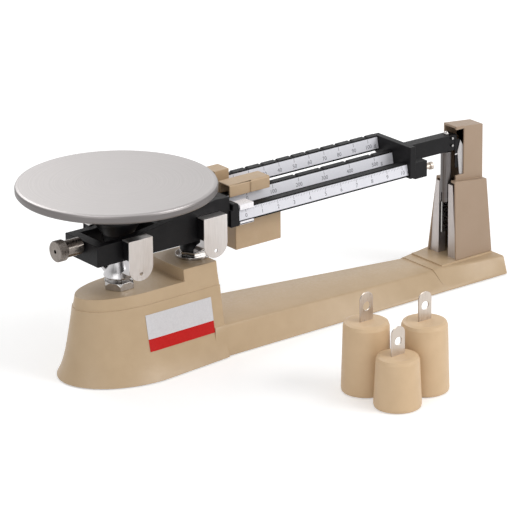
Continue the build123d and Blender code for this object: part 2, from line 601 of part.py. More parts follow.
# Zero knob on its stud at the casting's left end
KNOB_R = 8.2
KNOB_LEFT_X = -57.0
KNOB_NECK_X = -45.7
KNOB_END_X = BEAM_LEFT_X - 1.2
STUD_LEFT_X = KNOB_NECK_X
write("zero_stud", rod_x(STUD_LEFT_X, BEAM_LEFT_X + END_WALL - 2.2, 0, KNOB_Z, STUD_R - PIN_GAP))
knob = rod_x(KNOB_LEFT_X, KNOB_NECK_X, 0, KNOB_Z, KNOB_R)
knob += rod_x(KNOB_NECK_X, KNOB_END_X, 0, KNOB_Z, KNOB_R - 1.6)
knob -= rod_x(STUD_LEFT_X - 0.5, KNOB_END_X + 1, 0, KNOB_Z, STUD_R)
write("zero_knob", knob)

# Tower housing: a tapered lower box with a sloping ledge and a narrow head, open to the left
pad_z = PLATFORM_Z + PLATFORM_LIFT


def tower_shell(inset):
    """The tower's outer form, or the same form shrunk by its wall."""
    low = pad_z if inset == 0 else pad_z - 1
    left = -inset - 2 if inset else 0
    lower_side = [
        (TOWER_LEFT_X + left, low), (TOWER_RIGHT_X - inset, low),
        (LOWER_RIGHT_TOP_X - inset, LEDGE_RIGHT_Z - inset), (LOWER_LEFT_TOP_X + left, LEDGE_LEFT_Z - inset),
    ]
    lower = xz_prism(lower_side, -30, 30)
    taper = [
        (-TOWER_FOOT_HALF + inset, low), (TOWER_FOOT_HALF - inset, low),
        (TOWER_LEDGE_HALF - inset, LEDGE_LEFT_Z), (-TOWER_LEDGE_HALF + inset, LEDGE_LEFT_Z),
    ]
    lower &= yz_prism(taper, 300, 380)
    head_side = [
        (HEAD_LEFT_X + left, LEDGE_RIGHT_Z - 8), (HEAD_RIGHT_X - inset, LEDGE_RIGHT_Z - 8),
        (HEAD_RIGHT_X - inset - 0.4, ROOF_RIGHT_Z - inset), (HEAD_LEFT_X + left, ROOF_LEFT_Z - inset),
    ]
    head = xz_prism(head_side, -TOWER_HEAD_HALF + inset, TOWER_HEAD_HALF - inset)
    return lower + head


tower = tower_shell(0.0) - tower_shell(TOWER_WALL)
tower -= block(HEAD_LEFT_X - 1, WINDOW_RIGHT_X, -TOWER_HEAD_HALF - 1, 0, LEDGE_LEFT_Z + 3.5, ROOF_LEFT_Z - 3.0)
tower -= block(HEAD_LEFT_X - 12, HEAD_LEFT_X + 1, -6.2, 6.2, LEDGE_LEFT_Z - 6, LEDGE_LEFT_Z + 2)
write("tower_housing", tower)

# Two bent grey plates close the tower's lower left side, with a slot between them for the rod
PLATE_SHEET = 0.8
PLATE_LOW_Z = pad_z
PLATE_HIGH_Z = 78.0
SLOT_HALF = 5.6
PLATE_BEND_X = TOWER_LEFT_X + 9
plates = []
for side in (-1, 1):
    wall_low = TOWER_FOOT_HALF - TOWER_WALL - 0.25
    wall_high = wall_low - (TOWER_FOOT_HALF - TOWER_LEDGE_HALF) * (PLATE_HIGH_Z - pad_z) / (LEDGE_LEFT_Z - pad_z)
    shape = [(SLOT_HALF + 0.4, PLATE_LOW_Z), (wall_low, PLATE_LOW_Z), (wall_high, PLATE_HIGH_Z),
             (SLOT_HALF - 0.2, PLATE_HIGH_Z)]
    front = yz_prism([(side * y, z) for y, z in shape], TOWER_LEFT_X + 1.6, TOWER_LEFT_X + 1.6 + PLATE_SHEET)
    edge = [(SLOT_HALF + 0.4, PLATE_LOW_Z), (SLOT_HALF + 0.4 + PLATE_SHEET, PLATE_LOW_Z),
            (SLOT_HALF - 0.2 + PLATE_SHEET, PLATE_HIGH_Z), (SLOT_HALF - 0.2, PLATE_HIGH_Z)]
    inner_fold = yz_prism([(side * y, z) for y, z in edge], TOWER_LEFT_X + 1.6, PLATE_BEND_X)
    plates.append(front + inner_fold)
write("front_side_plate", plates[0])
write("rear_side_plate", plates[1])

# Indicator plate behind the window, with its zero line
indicator = block(WINDOW_RIGHT_X - 5.4, WINDOW_RIGHT_X + 2.0, -TOWER_HEAD_HALF + TOWER_WALL,
                  -TOWER_HEAD_HALF + TOWER_WALL + 0.8, LEDGE_LEFT_Z + 2.0, ROOF_LEFT_Z - 3.4)
write("indicator_plate", indicator)

# Damping magnets: a yoke that stands on the pad and holds a magnet on each side of the vane
YOKE_X0 = 338.0
YOKE_X1 = 352.0
YOKE_HALF = 11.0
YOKE_SHEET = 2.0
YOKE_TOP = 58.0
yoke = block(YOKE_X0, YOKE_X1, -YOKE_HALF, YOKE_HALF, pad_z, pad_z + YOKE_SHEET)
yoke += block(YOKE_X0, YOKE_X1, -YOKE_HALF, -YOKE_HALF + YOKE_SHEET, pad_z, YOKE_TOP)
yoke += block(YOKE_X0, YOKE_X1, YOKE_HALF - YOKE_SHEET, YOKE_HALF, pad_z, YOKE_TOP)
write("magnet_yoke", yoke)
MAGNET_THICKNESS = 6.0
magnet = block(YOKE_X0 + 1, YOKE_X1 - 1, YOKE_HALF - YOKE_SHEET - MAGNET_THICKNESS, YOKE_HALF - YOKE_SHEET,
               YOKE_TOP - 16, YOKE_TOP - 1)
write("damper_magnets", both_sides(magnet))

# Rear poise: a short hood over the rear bar with a small mass behind it
HOOD_GAP = 0.25
rear_y, rear_z0, rear_top = BARS["rear_beam"]
rear_back = rear_y + BAR_DEPTH
rear_x0 = 103.0
rear_x1 = rear_x0 + 14.0
rear_outline = [
    (rear_y - 2.2, rear_top - 5.0), (rear_y - 2.2, rear_top + 6.0), (rear_back + 5.6, rear_top + 6.0),
    (rear_back + 5.6, rear_z0 - 10.0), (rear_back + HOOD_GAP, rear_z0 - 10.0),
    (rear_back + HOOD_GAP, rear_top + HOOD_GAP), (rear_y - 1.0, rear_top + HOOD_GAP),
    (rear_y - 1.0, rear_top - 5.0),
]
write("rear_poise", yz_prism(rear_outline, rear_x0, rear_x1))

# Middle poise: a long hood over the middle bar and a heavy block hung below it
mid_y, mid_z0, mid_top = BARS["middle_beam"]
mid_back = mid_y + BAR_DEPTH
HOOD_X0 = 100.3
HOOD_X1 = 139.4
HOOD_TOP = mid_top + 9.6
HOOD_FRONT = mid_y - 6.3
hood_outline = [
    (HOOD_FRONT, mid_top - 0.2), (HOOD_FRONT, HOOD_TOP - 1.0), (HOOD_FRONT + 1.0, HOOD_TOP),
    (mid_back + 2.2, HOOD_TOP), (mid_back + 2.2, mid_z0 - 1.2), (mid_back + HOOD_GAP, mid_z0 - 1.2),
    (mid_back + HOOD_GAP, mid_top + HOOD_GAP), (HOOD_FRONT + 1.5, mid_top + HOOD_GAP), (HOOD_FRONT + 1.5, mid_top - 0.2),
]
hood = yz_prism(hood_outline, HOOD_X0, HOOD_X1)
hood -= block(HOOD_X0 - 1, HOOD_X0 + 12, HOOD_FRONT + 1.5, mid_back - 0.5, mid_top - 1, HOOD_TOP - 1.4)
hood -= block(120.0, 121.0, HOOD_FRONT - 1, HOOD_FRONT + 0.5, mid_top - 1, HOOD_TOP + 1)
write("middle_poise_hood", hood)
WEIGHT_X0 = 106.4
WEIGHT_X1 = 150.6
WEIGHT_FRONT = -7.0
WEIGHT_BACK = mid_back + 2.2
WEIGHT_BOTTOM = 72.2
WEIGHT_TAIL_TOP = 97.6    # the tail passes under the cross plate at the end of the travel
weight = xz_prism([
    (WEIGHT_X0, WEIGHT_BOTTOM), (WEIGHT_X1, WEIGHT_BOTTOM), (WEIGHT_X1, WEIGHT_TAIL_TOP),
    (HOOD_X1 - 0.4, WEIGHT_TAIL_TOP), (HOOD_X1 - 0.4, mid_z0 - 1.2), (WEIGHT_X0, mid_z0 - 1.2),
], WEIGHT_FRONT, WEIGHT_BACK - 0.4)
write("middle_poise_weight", weight)

# Front rider: a light clip that wraps the front bar and leaves its face in view
front_y, front_z0, front_top = BARS["front_beam"]
front_back = front_y + BAR_DEPTH
RIDER_X0 = 98.8
RIDER_X1 = 112.0
rider_outline = [
    (front_y - 2.6, front_top + HOOD_GAP), (front_y - 2.6, front_top + 1.6), (front_back + 1.5, front_top + 1.6),
    (front_back + 1.5, front_z0 - 1.6), (front_y - 3.0, front_z0 - 1.6), (front_y - 3.0, front_z0 - HOOD_GAP),
    (front_back + HOOD_GAP, front_z0 - HOOD_GAP), (front_back + HOOD_GAP, front_top + HOOD_GAP),
]
write("front_rider", yz_prism(rider_outline, RIDER_X0, RIDER_X1))

# Attachment masses: each a turned body with a steel hanging tab
MASSES = {
    # name: x, y, foot radius, shoulder radius, body height, tab top, tab width, hole height
    "left_mass": (116.8, -151.9, 19.0, 17.5, 55.5, 78.0, 12.2, 67.2, 3.5),
    "right_mass": (151.1, -178.5, 19.0, 17.5, 55.5, 78.0, 12.2, 67.2, 3.5),
    "small_mass": (115.2, -190.3, 18.1, 16.4, 40.5, 62.9, 12.7, 51.4, 3.3),
}
TAB_SHEET = 1.2
TAB_SUNK = 6.0
for mass_name, (mx, my, r_foot, r_top, height, tab_top, tab_width, hole_z, hole_r) in MASSES.items():
    profile = [
        (0, 0), (r_foot - 2.5, 0), (r_foot - 0.4, 0.8), (r_foot, 2.6), (r_top, height - 3.4),
        (r_top - 0.9, height - 1.0), (r_top - 3.2, height), (0, height),
    ]
    body = revolve(make_face(Polyline(*[(r, 0, z) for r, z in profile], close=True).edges()), Axis.Z)
    body = Pos(mx, my, 0) * body
    tab = block(-tab_width / 2, tab_width / 2, -TAB_SHEET / 2, TAB_SHEET / 2, height - TAB_SUNK, tab_top)
    tab = fillet(tab.edges().filter_by(Axis.Y).group_by(Axis.Z)[-1], tab_width / 2 - 0.6)
    tab -= rod_y(0, -3, 3, hole_z, hole_r)
    tab = Pos(mx, my, 0) * tab
    body -= Pos(mx, my, 0) * block(-tab_width / 2, tab_width / 2, -TAB_SHEET / 2, TAB_SHEET / 2, height - TAB_SUNK, height + 1)
    write(f"{mass_name}_body", body)
    write(f"{mass_name}_tab", tab)
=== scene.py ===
import json
from math import cos, radians, sin

import bmesh
import bpy
import numpy as np
from mathutils import Matrix, Vector


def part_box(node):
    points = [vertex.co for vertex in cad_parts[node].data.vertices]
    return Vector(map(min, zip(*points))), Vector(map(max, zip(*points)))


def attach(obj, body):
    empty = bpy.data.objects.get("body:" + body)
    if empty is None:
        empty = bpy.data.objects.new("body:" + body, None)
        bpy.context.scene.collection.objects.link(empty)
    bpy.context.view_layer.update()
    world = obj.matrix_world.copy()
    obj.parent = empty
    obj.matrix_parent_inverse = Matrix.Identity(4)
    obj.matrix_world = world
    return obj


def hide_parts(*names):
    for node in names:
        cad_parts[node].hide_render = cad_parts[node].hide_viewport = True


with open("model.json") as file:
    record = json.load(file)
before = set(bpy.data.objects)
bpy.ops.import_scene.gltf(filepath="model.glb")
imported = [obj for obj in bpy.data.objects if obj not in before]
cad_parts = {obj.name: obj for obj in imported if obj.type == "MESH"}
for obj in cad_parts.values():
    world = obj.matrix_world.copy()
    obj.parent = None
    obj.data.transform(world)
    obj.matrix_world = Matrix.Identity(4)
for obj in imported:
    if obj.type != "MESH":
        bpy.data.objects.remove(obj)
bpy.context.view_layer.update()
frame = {"nodes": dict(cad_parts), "record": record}
MM = 0.001
RECORD = frame["record"]
BODY_OF = {node: body for body, nodes in RECORD["behaviour"]["bodies"].items() for node in nodes}
SLOT_OF = {row["node"]: row["material_slot"] for row in RECORD["subparts"]}
PIVOT_OF = {joint["name"]: joint.get("pos_m") for joint in RECORD["behaviour"]["joints"]}

# Camera: the photograph's own place, read from the pan's ellipse and the base's edges
CAMERA_PLACE = Vector((-1368.9, -1943.1, 967.8)) * MM
CAMERA_AZIMUTH = 37.74     # degrees from +Y towards +X
CAMERA_DIP = 20.37         # degrees below the horizon
CAMERA_ROLL = -0.53
CAMERA_SENSOR = 36.0       # mm
CAMERA_LENS = 232.7


def make_camera():
    """A level camera that looks along the azimuth and dip, then rolled about its own axis."""
    turn, dip, roll = radians(CAMERA_AZIMUTH), radians(CAMERA_DIP), radians(CAMERA_ROLL)
    ahead = Vector((sin(turn) * cos(dip), cos(turn) * cos(dip), -sin(dip)))
    level_right = Vector((cos(turn), -sin(turn), 0.0))
    level_up = level_right.cross(ahead)
    right = cos(roll) * level_right + sin(roll) * level_up
    up = cos(roll) * level_up - sin(roll) * level_right
    data = bpy.data.cameras.new("photo_camera")
    data.sensor_width = CAMERA_SENSOR
    data.lens = CAMERA_LENS
    camera = bpy.data.objects.new("photo_camera", data)
    bpy.context.scene.collection.objects.link(camera)
    turn_matrix = Matrix((right, up, -ahead)).transposed().to_4x4()
    camera.matrix_world = Matrix.Translation(CAMERA_PLACE) @ turn_matrix
    bpy.context.scene.camera = camera


# Light: a soft key in front and to the right, a weak fill on the left and one from behind
LAMPS = (
    # name, place in metres, side in metres, watts
    ("key", (1.3, -1.9, 1.5), 1.4, 31.0),
    ("fill", (-2.0, -1.2, 1.2), 1.6, 13.0),
    ("back", (0.4, 1.8, 1.6), 1.4, 14.0),
)
LAMP_TARGET = Vector((0.17, -0.05, 0.06))
AMBIENT = 0.55


def make_lamps():
    """Square area lamps that face the middle of the object."""
    for name, place, side, watts in LAMPS:
        data = bpy.data.lights.new(name, "AREA")
        data.shape = "SQUARE"
        data.size = side
        data.energy = watts
        lamp = bpy.data.objects.new(name, data)
        bpy.context.scene.collection.objects.link(lamp)
        lamp.location = place
        lamp.rotation_euler = (LAMP_TARGET - Vector(place)).to_track_quat("-Z", "Y").to_euler()


def linear(hex_color):
    """An sRGB hex colour as linear RGBA."""
    parts = [int(hex_color[i:i + 2], 16) / 255 for i in (1, 3, 5)]
    return tuple(c / 12.92 if c <= 0.04045 else ((c + 0.055) / 1.055) ** 2.4 for c in parts) + (1.0,)


def add(tree, kind, values=None, links=None, **settings):
    """Adds one shader node with its settings, its values by socket, and the sockets that feed it."""
    made = tree.nodes.new("ShaderNode" + kind)
    for key, value in settings.items():
        setattr(made, key, value)
    for key, value in (values or {}).items():
        made.inputs[key].default_value = value
    for key, socket in (links or {}).items():
        tree.links.new(socket, made.inputs[key])
    return made


def sees_backdrop(tree):
    """1 for camera, glossy and transmission rays, 0 for the rays that carry diffuse light."""
    path = add(tree, "LightPath")
    either = add(tree, "Math", links={0: path.outputs["Is Camera Ray"], 1: path.outputs["Is Glossy Ray"]},
                 operation="MAXIMUM")
    return add(tree, "Math", links={0: either.outputs[0], 1: path.outputs["Is Transmission Ray"]},
               operation="MAXIMUM").outputs[0]


def make_world():
    """White to the camera and in reflections, plain soft grey as a light."""
    world = bpy.data.worlds.new("studio")
    bpy.context.scene.world = world
    world.use_nodes = True
    tree = world.node_tree
    tree.nodes.clear()
    light = add(tree, "Background", {"Color": (1.0, 1.0, 1.0, 1.0), "Strength": AMBIENT})
    seen = add(tree, "Background", {"Color": (1.0, 1.0, 1.0, 1.0), "Strength": 1.0})
    mixed = add(tree, "MixShader", links={0: sees_backdrop(tree), 1: light.outputs[0], 2: seen.outputs[0]})
    add(tree, "OutputWorld", links={"Surface": mixed.outputs[0]})


FLOOR_HALF = 4.0
FLOOR_GLOW = 0.34          # share of white that the backdrop keeps in shadow
FLOOR_WHITE = 0.86


def make_floor():
    """A pale table that glows a little to the camera: the lit part is white and shadows stay soft."""
    finish = bpy.data.materials.new("studio_floor")
    finish.use_nodes = True
    tree = finish.node_tree
    tree.nodes.clear()
    paper = add(tree, "BsdfDiffuse", {"Color": (FLOOR_WHITE, FLOOR_WHITE, FLOOR_WHITE, 1.0)})
    level = add(tree, "Math", {1: FLOOR_GLOW}, {0: sees_backdrop(tree)}, operation="MULTIPLY")
    glow = add(tree, "Emission", {"Color": (1.0, 1.0, 1.0, 1.0)}, {"Strength": level.outputs[0]})
    both = add(tree, "AddShader", links={0: paper.outputs[0], 1: glow.outputs[0]})
    add(tree, "OutputMaterial", links={"Surface": both.outputs[0]})
    mesh = bpy.data.meshes.new("studio_floor")
    corners = [(-FLOOR_HALF, -FLOOR_HALF, 0), (FLOOR_HALF, -FLOOR_HALF, 0),
               (FLOOR_HALF, FLOOR_HALF, 0), (-FLOOR_HALF, FLOOR_HALF, 0)]
    mesh.from_pydata(corners, [], [(0, 1, 2, 3)])
    mesh.materials.append(finish)
    floor = bpy.data.objects.new("studio_floor", mesh)
    bpy.context.scene.collection.objects.link(floor)


# Materials. Every pattern reads Object coordinates, which are in metres, so a noise's scale is one
# over the real spacing that it draws.

def finish(name, **shader_values):
    """A new material with its Principled shader and the Object coordinates that its patterns read."""
    made = bpy.data.materials.new(name)
    made.use_nodes = True
    tree = made.node_tree
    tree.nodes.clear()
    shader = add(tree, "BsdfPrincipled", shader_values)
    add(tree, "OutputMaterial", links={"Surface": shader.outputs[0]})
    return made, tree, shader, add(tree, "TexCoord").outputs["Object"]


def cloud(tree, place, spacing, detail=2.0, rough=0.5):
    """Soft noise whose lumps are about the given spacing apart."""
    return add(tree, "TexNoise", {"Scale": 1.0 / spacing, "Detail": detail, "Roughness": rough},
               {"Vector": place}).outputs[0]


NOISE_LOW, NOISE_HIGH = 0.3, 0.7          # where nearly all of a noise's values lie


def between(tree, factor, low, high):
    """A noise's usual values spread over a range of numbers."""
    spread = {"From Min": NOISE_LOW, "From Max": NOISE_HIGH, "To Min": low, "To Max": high}
    return add(tree, "MapRange", spread, {"Value": factor}).outputs[0]


def shades(tree, factor, dark, light):
    """Two near colours, mixed by the factor."""
    ramp = add(tree, "ValToRGB", links={0: factor})
    ramp.color_ramp.elements[0].position = NOISE_LOW
    ramp.color_ramp.elements[0].color = linear(dark)
    ramp.color_ramp.elements[1].position = NOISE_HIGH
    ramp.color_ramp.elements[1].color = linear(light)
    return ramp.outputs[0]


def relief(tree, height, depth):
    """Bump of the given depth from a 0 to 1 height."""
    return add(tree, "Bump", {"Strength": 1.0, "Distance": depth}, {"Height": height}).outputs[0]


def enamel(name, dark, light, rough=(0.34, 0.46), lump=14 * MM, peel=2.2 * MM, depth=0.03 * MM, gloss=0.45):
    """Sprayed stove enamel: a skin with faint orange peel over a surface that is never quite even."""
    made, tree, shader, place = finish(name, **{"Specular IOR Level": gloss})
    tree.links.new(shades(tree, cloud(tree, place, lump, 3.0), dark, light), shader.inputs["Base Color"])
    skin = cloud(tree, place, peel, 1.0)
    tree.links.new(between(tree, skin, *rough), shader.inputs["Roughness"])
    tree.links.new(relief(tree, skin, depth), shader.inputs["Normal"])
    return made


def brushed(name, dark, light, rough=(0.3, 0.42), stretch=(0.05, 1.0, 1.0), line=0.6 * MM, depth=0.006 * MM):
    """Sheet metal brushed one way: long fine lines from noise that is drawn out along the brushing."""
    made, tree, shader, place = finish(name, Metallic=1.0)
    along = add(tree, "Mapping", {"Scale": stretch}, {"Vector": place}).outputs[0]
    lines = cloud(tree, along, line, 2.0, 0.6)
    tree.links.new(shades(tree, lines, dark, light), shader.inputs["Base Color"])
    tree.links.new(between(tree, lines, *rough), shader.inputs["Roughness"])
    tree.links.new(relief(tree, lines, depth), shader.inputs["Normal"])
    return made


PAINTED_RIM_SHADE_HEIGHTS = (148.2 * MM, 149.0 * MM)      # painted shade: the darker rim wall and the pan's underside fade into the brighter dish between these heights
RING_PITCH = 0.9 * MM                     # lathe marks, drawn coarser than they are so that they show
RING_DEPTH = 0.004 * MM
WORN_PATCH = 30 * MM                      # patches that years of wiping left a little duller


def spun_steel():
    """Stainless dish polished on a lathe: fine rings round the pan's axis, with the rim wall and underside
    painted darker as painted shade.
    """
    made, tree, shader, place = finish("spun_stainless_steel", Metallic=1.0)
    flat = add(tree, "VectorMath", {1: (1.0, 1.0, 0.0)}, {0: place}, operation="MULTIPLY").outputs[0]
    radius = add(tree, "VectorMath", links={0: flat}, operation="LENGTH").outputs["Value"]
    rings = add(tree, "TexNoise", {"Scale": 1.0 / RING_PITCH, "Detail": 3.0}, {"W": radius},
                noise_dimensions="1D").outputs[0]
    height = add(tree, "SeparateXYZ", links={0: place}).outputs["Z"]
    dish = add(tree, "MapRange", {"From Min": PAINTED_RIM_SHADE_HEIGHTS[0], "From Max": PAINTED_RIM_SHADE_HEIGHTS[1]},
               {"Value": height}).outputs[0]
    # painted shade: the wall and underside get a darker colour than the dish
    shaded_wall_colour = shades(tree, rings, "#6E6A69", "#7A7675")
    dish_colour = shades(tree, rings, "#A9A5A4", "#B5B1B0")
    colour = add(tree, "Mix", links={"Factor": dish, "A": shaded_wall_colour, "B": dish_colour}, data_type="RGBA")
    tree.links.new(colour.outputs["Result"], shader.inputs["Base Color"])
    worn = cloud(tree, place, WORN_PATCH, 3.0)
    both = add(tree, "Math", links={0: rings, 1: worn}, operation="ADD").outputs[0]
    half = add(tree, "Math", {1: 0.5}, {0: both}, operation="MULTIPLY").outputs[0]
    tree.links.new(between(tree, half, 0.34, 0.46), shader.inputs["Roughness"])
    tree.links.new(relief(tree, rings, RING_DEPTH), shader.inputs["Normal"])
    return made


HAZE_PATCH = 4 * MM


def plated(name, dark, light, rough=(0.06, 0.16)):
    """Bright plating over turned brass or steel: sharp reflections with a little haze."""
    made, tree, shader, place = finish(name, Metallic=1.0)
    haze = cloud(tree, place, HAZE_PATCH, 3.0)
    tree.links.new(shades(tree, haze, dark, light), shader.inputs["Base Color"])
    tree.links.new(between(tree, haze, *rough), shader.inputs["Roughness"])
    return made


def moulded(name, dark, light, rough=(0.25, 0.35), grain=1.5 * MM, depth=0.01 * MM, gloss=0.4):
    """Moulded plastic, rubber or a printed film: even colour with the tool's faint grain."""
    made, tree, shader, place = finish(name, **{"Specular IOR Level": gloss})
    spots = cloud(tree, place, grain, 2.0)
    tree.links.new(shades(tree, spots, dark, light), shader.inputs["Base Color"])
    tree.links.new(between(tree, spots, *rough), shader.inputs["Roughness"])
    tree.links.new(relief(tree, spots, depth), shader.inputs["Normal"])
    return made


# Brushing direction: the pattern is drawn out twentyfold along it
ACROSS_X = (0.05, 1.0, 1.0)
UPRIGHT = (1.0, 1.0, 0.05)
MATERIALS = {
    # cast aluminium under beige stove enamel: a satin skin with a faint orange peel
    "beige_stove_enamel": enamel("beige_stove_enamel", "#B79E7E", "#BCA383"),
    # the tower's die casting, enamelled a shade greyer and pinker
    "tower_enamel": enamel("tower_enamel", "#9F8872", "#A28B76", lump=20 * MM),
    # poises, sprayed the base's beige; painted a little darker than the base as painted shade for their
    # shaded fronts
    "poise_enamel_painted_shade": enamel("poise_enamel_painted_shade", "#B49A7A", "#B99F80", lump=10 * MM),
    # loose masses, sprayed a yellower and duller beige
    "mass_enamel": enamel("mass_enamel", "#CEB18D", "#D3B692", rough=(0.4, 0.5), lump=12 * MM),
    # the beam's sand casting under semi-matt black, grainier than the beige
    "black_stove_enamel": enamel("black_stove_enamel", "#0C0B0D", "#121113", rough=(0.4, 0.52), lump=8 * MM,
                                 peel=1.6 * MM, depth=0.05 * MM, gloss=0.2),
    # the pan: soft wide reflections broken by fine rings
    "spun_stainless_steel": spun_steel(),
    # sheet covers, brushed along their length: long pale streaks
    "satin_stainless_sheet": brushed("satin_stainless_sheet", "#CFCBC9", "#DAD6D4", stretch=UPRIGHT),
    # the masses' tabs and the small screws: bright rolled steel, a little yellowed
    "tab_steel": brushed("tab_steel", "#BFB4AA", "#CCC1B6", (0.26, 0.4), UPRIGHT),
    # the tower's bent plates, a dull zinc coat
    "grey_zinc_sheet": brushed("grey_zinc_sheet", "#BEB8B6", "#CAC4C2", (0.4, 0.55), UPRIGHT, line=1.2 * MM),
    # both nuts and the pointer's ball: nickel with sharp dark and light reflections
    "bright_nickel": plated("bright_nickel", "#A9A6A4", "#B9B6B3"),
    # the zero knob: nickel worn dull by fingers; its colour is darkened as painted shade for the knob's
    # shaded left end
    "worn_knurl_painted_shade": plated("worn_knurl_painted_shade", "#7C756F", "#8F8781", (0.22, 0.34)),
    # the damping rod, steel darkened as painted shade for the tower's shaded slot
    "rod_steel_painted_shade": brushed("rod_steel_painted_shade", "#625E5E", "#706C6B", (0.28, 0.4), UPRIGHT),
    # forked carriers, die-cast zinc with a satin plate
    "satin_cast_zinc": brushed("satin_cast_zinc", "#BDBBBC", "#CAC8C9", (0.25, 0.38), UPRIGHT, line=2 * MM),
    # knife edges, pins and the check rod: ground steel with fine lines along X
    "ground_steel": brushed("ground_steel", "#A9A7A5", "#B9B7B5", (0.2, 0.32), ACROSS_X),
    # anodised aluminium strips with a matt white ground
    "white_anodised_strip": moulded("white_anodised_strip", "#DBDBE2", "#E1E1E7", (0.38, 0.46), grain=1 * MM),
    # the strips' thin ink, which lets the white ground through and so looks dark grey
    "print_black": moulded("print_black", "#66666D", "#707077", (0.5, 0.6)),
    # the sign's printed film, satin
    "sign_grey": moulded("sign_grey", "#CBC9CB", "#D2D0D2", (0.3, 0.36)),
    "sign_red": moulded("sign_red", "#B91515", "#C01919", (0.3, 0.36), gloss=0.25),
    # the rider's moulded acetal: bright, with a soft gloss
    "white_plastic": moulded("white_plastic", "#F8F6F9", "#FCFAFD", (0.24, 0.32)),
    # the plate behind the window, painted matt white and shaded by the tower
    "indicator_white": moulded("indicator_white", "#B9B6B6", "#C1BEBE", (0.35, 0.42)),
    # the feet: dull rubber with a coarse skin
    "black_rubber": moulded("black_rubber", "#1A1A1A", "#202020", (0.6, 0.75), grain=1 * MM, depth=0.03 * MM),
    # knife bearings: polished banded agate
    "banded_agate": moulded("banded_agate", "#7C6A5C", "#A8988A", (0.12, 0.2), grain=2 * MM, depth=0.0),
    # the damper's magnets: dull grey, slightly gritty
    "sintered_magnet": moulded("sintered_magnet", "#3A3A3D", "#444448", (0.5, 0.65), grain=1.2 * MM,
                               depth=0.04 * MM),
}
FINISH_OF_SLOT = {
    "base_paint": "beige_stove_enamel", "tower_paint": "tower_enamel", "black_paint": "black_stove_enamel",
    "pan_steel": "spun_stainless_steel", "cover_steel": "satin_stainless_sheet",
    "plate_grey": "grey_zinc_sheet", "nut_chrome": "bright_nickel",
    "fork_zinc": "satin_cast_zinc", "agate": "banded_agate",
    "knife_steel": "ground_steel", "scale_face": "white_anodised_strip", "rubber": "black_rubber",
    "link_steel": "ground_steel", "screw_steel": "tab_steel", "rider_white": "white_plastic",
    "poise_paint": "poise_enamel_painted_shade", "mass_paint": "mass_enamel", "magnet": "sintered_magnet",
    "copper_vane": "ground_steel", "indicator_white": "indicator_white", "under_steel": "black_stove_enamel",
}

# Nodes whose finish isn't their slot's usual one
# painted shade: both finishes here are darkened to stand in for the shade on these parts
FINISH_OF_NODE = {"zero_knob": "worn_knurl_painted_shade", "damper_rod": "rod_steel_painted_shade"}

# Radius that the real edges have, in millimetres, where it shows
EDGE_OF_NODE = {
    "base_casting": 0.22, "tower_housing": 0.35, "beam_casting": 0.5, "cross_plate": 0.4, "pointer_stem": 0.4,
    "middle_poise_hood": 0.5, "middle_poise_weight": 0.6, "rear_poise": 0.5, "front_rider": 0.3,
    "fulcrum_bearing_blocks": 0.4, "pan_bearing_blocks": 0.4, "fulcrum_nut": 0.35, "guide_nut": 0.4,
    "fulcrum_stirrup": 0.5, "pan_stirrup": 0.5, "pan_bearing_covers": 0.12, "fulcrum_bearing_covers": 0.12,
    "left_mass_tab": 0.15, "right_mass_tab": 0.15, "small_mass_tab": 0.15, "damper_rod": 0.3,
}
SHARP_ANGLE = 28.0         # degrees between faces from which an edge counts as sharp
MERGE = 0.002 * MM         # corners nearer than this are one
FLAT_ANGLE = 0.4           # degrees within which triangles are one flat face


def finish_of(node):
    """The name of the material that a CAD node wears."""
    return FINISH_OF_NODE.get(node, FINISH_OF_SLOT[SLOT_OF[node]])


def put(name, mesh, body, material):
    """Links a finished mesh as a piece with its material and its body."""
    mesh.materials.clear()
    mesh.materials.append(MATERIALS[material])
    piece = bpy.data.objects.new(name, mesh)
    bpy.context.scene.collection.objects.link(piece)
    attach(piece, body)
    return piece


def shade(mesh, angle=SHARP_ANGLE):
    """Smooth shading that breaks at the sharp edges."""
    mesh.shade_smooth()
    mesh.set_sharp_from_angle(angle=radians(angle))


def round_edges(piece, width):
    """A live bevel on the piece's sharp edges."""
    edge = piece.modifiers.new("edge", "BEVEL")
    edge.width = width
    edge.segments = 2
    edge.limit_method = "ANGLE"
    edge.angle_limit = radians(SHARP_ANGLE)
    return edge


def softened(node):
    """A CAD solid's own surface, its triangles joined and its sharp edges rounded by the node's radius."""
    source = frame["nodes"][node].data
    points = np.empty(len(source.vertices) * 3)
    source.vertices.foreach_get("co", points)
    corners = np.empty(len(source.loops), dtype=int)
    source.loops.foreach_get("vertex_index", corners)
    mesh = bpy.data.meshes.new(node + "_skin")
    mesh.from_pydata(points.reshape(-1, 3).tolist(), [], corners.reshape(-1, 3).tolist())
    work = bmesh.new()
    work.from_mesh(mesh)
    bmesh.ops.remove_doubles(work, verts=work.verts, dist=MERGE)
    bmesh.ops.dissolve_limit(work, angle_limit=radians(FLAT_ANGLE), verts=work.verts, edges=work.edges)
    work.to_mesh(mesh)
    work.free()
    shade(mesh)
    piece = put(node + "_skin", mesh, BODY_OF[node], finish_of(node))
    edge = round_edges(piece, EDGE_OF_NODE[node] * MM)
    edge.harden_normals = True
    edge.use_clamp_overlap = False
    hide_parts(node)


def dress_nodes():
    """Gives every CAD node its finish and, where listed, round edges. make_knob turns the knob anew."""
    for node, thing in frame["nodes"].items():
        if node == "zero_knob":
            continue
        if node in EDGE_OF_NODE:
            softened(node)
        else:
            thing.data.materials.clear()
            thing.data.materials.append(MATERIALS[finish_of(node)])


# Print on the three scales

